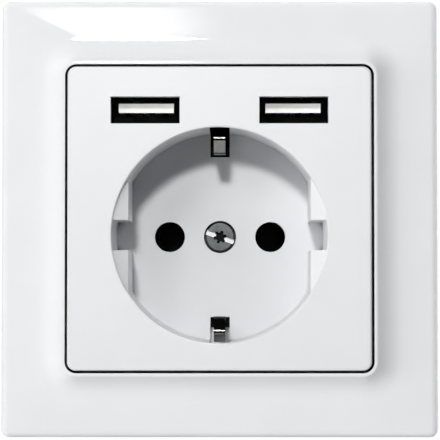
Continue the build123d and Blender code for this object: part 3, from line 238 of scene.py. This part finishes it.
# Camera: in front of the face, a little right of and below the plate centre
camera_data = bpy.data.cameras.new("camera")
camera_data.sensor_width = 36.0
camera_data.lens = 162.0
camera = bpy.data.objects.new("camera", camera_data)
bpy.context.scene.collection.objects.link(camera)
bpy.context.scene.camera = camera
camera.location = (2.3 * MM, -367 * MM, -11.3 * MM)
aim = Vector((0.1 * MM, -10 * MM, -0.32 * MM))
camera.rotation_euler = (aim - camera.location).to_track_quat("-Z", "Y").to_euler()


def studio_lamp(name, azimuth, elevation, size, power, distance=1000, mirrored=False, aim_at=(0.0, -10.0, -3.0)):
    """Round area lamp seen from aim_at: azimuth to the right, elevation above the face normal; degrees, mm, watts."""
    data = bpy.data.lights.new(name, "AREA")
    data.shape = "DISK"
    data.size = size * MM
    data.energy = power
    lamp = bpy.data.objects.new(name, data)
    bpy.context.scene.collection.objects.link(lamp)
    across, up = math.radians(azimuth), math.radians(elevation)
    way = Vector((math.sin(across) * math.cos(up), -math.cos(across) * math.cos(up), math.sin(up)))
    lamp.location = (Vector(aim_at) + distance * way) * MM
    lamp.rotation_euler = (-way).to_track_quat("-Z", "Y").to_euler()
    lamp.visible_glossy = mirrored
    return lamp


# One softbox above and a little left of the camera, which also shows on the glossy frame, and plain soft fills
studio_lamp("key softbox", -4.5, 19.7, 105, 5.22, mirrored=True)
studio_lamp("left fill", -65.0, 0.0, 500, 2.40)
studio_lamp("far left fill", -82.0, 0.0, 500, 1.30)
studio_lamp("left front fill", -35.0, 0.0, 300, 0.90)
studio_lamp("upper left fill", -30.0, 25.0, 300, 1.65)
studio_lamp("lower left fill", -50.0, -35.0, 400, 0.95)
studio_lamp("upper right fill", 50.0, 35.0, 400, 1.75)
studio_lamp("light from the table", 0.0, -77.0, 220, 0.46, distance=550)
# Fills for the insert, the right side, the top and the underside, from behind the face and on the part only, so that
# no light from them comes back from the floor
part = bpy.data.collections.new("part without floor")
for entry in nodes.values():
    part.objects.link(entry)
for name, azimuth, elevation, power in (
    ("rear left fill", -150.0, 10.0, 4.4),
    ("rear right fill", 140.0, 10.0, 2.8),
    ("right side fill", 108.0, 0.0, 5.2),
    ("top fill", 180.0, 74.0, 4.0),
    ("bottom fill", 180.0, -74.0, 1.4),
):
    studio_lamp(name, azimuth, elevation, 400, power).light_linking.receiver_collection = part
# Wide panel with faded edges that only shows as a reflection, on the upper left of the frame
panel = studio_lamp("mirrored panel", -3.4, 12.9, 120, 0.06, 600, True, aim_at=(-22.0, -7.1, 35.7))
panel.visible_diffuse = False
panel.data.shape = "ELLIPSE"
panel.data.size_y = 36 * MM
panel.data.use_nodes = True
tree = panel.data.node_tree
tree.nodes.clear()
from_middle = add(tree, "ShaderNodeVectorMath", {"operation": "DISTANCE"}, {1: (0.5, 0.5, 0.0)},
                  {0: add(tree, "ShaderNodeNewGeometry").outputs["Parametric"]})
fade = add(tree, "ShaderNodeMapRange", {"interpolation_type": "SMOOTHSTEP"},
           {"From Min": 0.15, "From Max": 0.5, "To Min": 1.0, "To Max": 0.0}, {"Value": from_middle.outputs["Value"]})
glow = add(tree, "ShaderNodeEmission", links={"Strength": fade.outputs["Result"]})
add(tree, "ShaderNodeOutputLight", links={"Surface": glow.outputs["Emission"]})
# The tongues stand deep in their ports and get a lamp of their own, which nothing else sees or shades
tongues = bpy.data.collections.new("USB tongues")
for name in ("usb_insulator_left", "usb_insulator_right"):
    tongues.objects.link(nodes[name])
tongue_lamp = studio_lamp("tongue lamp", -4.5, 8.0, 105, 5.2)
tongue_lamp.light_linking.receiver_collection = tongues
tongue_lamp.light_linking.blocker_collection = tongues

# White paper behind the part and a dark room in front of it, both as reflections show them: plain white to the camera
# and through glass, and only a faint light on the part
world = bpy.data.worlds.new("surround")
bpy.context.scene.world = world
world.use_nodes = True
tree = world.node_tree
tree.nodes.clear()
way = add(tree, "ShaderNodeSeparateXYZ", links={"Vector": add(tree, "ShaderNodeTexCoord").outputs["Generated"]})
behind = add(tree, "ShaderNodeMapRange", values={"From Min": 0.02, "From Max": 0.4, "To Min": 0.01, "To Max": 1.0},
             links={"Value": way.outputs["Y"]})
ray = add(tree, "ShaderNodeLightPath")
mirrored = add(tree, "ShaderNodeMapRange", values={"To Min": PAPER_LIGHT, "To Max": 1.0},
               links={"Value": ray.outputs["Is Glossy Ray"]})
paper = add(tree, "ShaderNodeMath", {"operation": "MULTIPLY"},
            links={0: behind.outputs["Result"], 1: mirrored.outputs["Result"]})
seen = add(tree, "ShaderNodeMath", {"operation": "MAXIMUM"},
           links={0: ray.outputs["Is Camera Ray"], 1: ray.outputs["Is Transmission Ray"]})
strength = add(tree, "ShaderNodeMath", {"operation": "MAXIMUM"},
               links={0: seen.outputs["Value"], 1: paper.outputs["Value"]})
sky = add(tree, "ShaderNodeBackground", values={"Color": linear("ffffff")},
          links={"Strength": strength.outputs["Value"]})
add(tree, "ShaderNodeOutputWorld", links={"Surface": sky.outputs["Background"]})

# Floor well below the part: white paper, plain white to the camera, through glass and in reflections
material, tree, output, place = new_material("white paper sweep, matt")
fibre = add(tree, "ShaderNodeTexNoise", values={"Scale": 1 / (60.0 * MM)}, links={"Vector": place})
tone = add(tree, "ShaderNodeMix", {"data_type": "RGBA"}, {"A": linear("f3f3f3"), "B": linear("f6f6f6")},
           {"Factor": fibre.outputs["Fac"]})
paper = add(tree, "ShaderNodeBsdfDiffuse", links={"Color": tone.outputs["Result"]})
glow = add(tree, "ShaderNodeEmission", values={"Color": linear("ffffff"), "Strength": 1.0})
ray = add(tree, "ShaderNodeLightPath")
seen = ray.outputs["Is Camera Ray"]
for other in ("Is Glossy Ray", "Is Transmission Ray"):
    seen = add(tree, "ShaderNodeMath", {"operation": "MAXIMUM"},
               links={0: seen, 1: ray.outputs[other]}).outputs["Value"]
mixed = add(tree, "ShaderNodeMixShader", links={
    "Fac": seen,
    1: paper.outputs["BSDF"],
    2: glow.outputs["Emission"],
})
tree.links.new(mixed.outputs["Shader"], output.inputs["Surface"])
bpy.ops.mesh.primitive_plane_add(size=FLOOR_SIZE, location=(0.0, 0.0, -FLOOR_DROP))
floor = bpy.context.object
floor.name = "floor"
floor.data.materials.append(material)

bpy.context.scene.view_settings.view_transform = "Standard"
